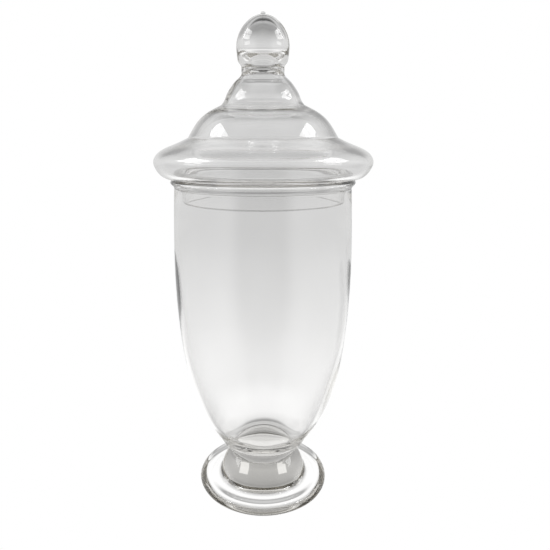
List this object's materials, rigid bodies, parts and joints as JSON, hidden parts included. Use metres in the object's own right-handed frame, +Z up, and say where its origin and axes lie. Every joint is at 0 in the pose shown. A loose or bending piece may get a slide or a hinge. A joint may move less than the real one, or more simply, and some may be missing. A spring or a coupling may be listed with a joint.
{
  "type": "footed display jar",
  "caption": "Tall footed clear glass display jar with a tapering bowl and a lift-off domed lid that drops into the mouth, topped by a hollow ball finial.",
  "frame": {"origin": "on the jar's axis, in the plane that the foot stands on", "axes": "+Z up along the jar's axis; the part is turned, so +X and +Y are any two level directions"},
  "size_m": [0.2206, 0.2206, 0.51],
  "materials": {
    "jar_glass": "clear polished",
    "lid_glass": "clear polished"
  },
  "bodies": {
    "jar": {"jar_bowl": "jar_glass", "jar_stem": "jar_glass", "jar_foot": "jar_glass"},
    "lid": {"lid_canopy": "lid_glass", "lid_collar": "lid_glass", "lid_finial": "lid_glass", "finial_tip": "lid_glass"}
  },
  "joints": [
    {"name": "lid_lift", "type": "slide", "parent": "jar", "child": "lid", "axis": [0, 0, 1], "range_m": [0, 0.12]}
  ]
}
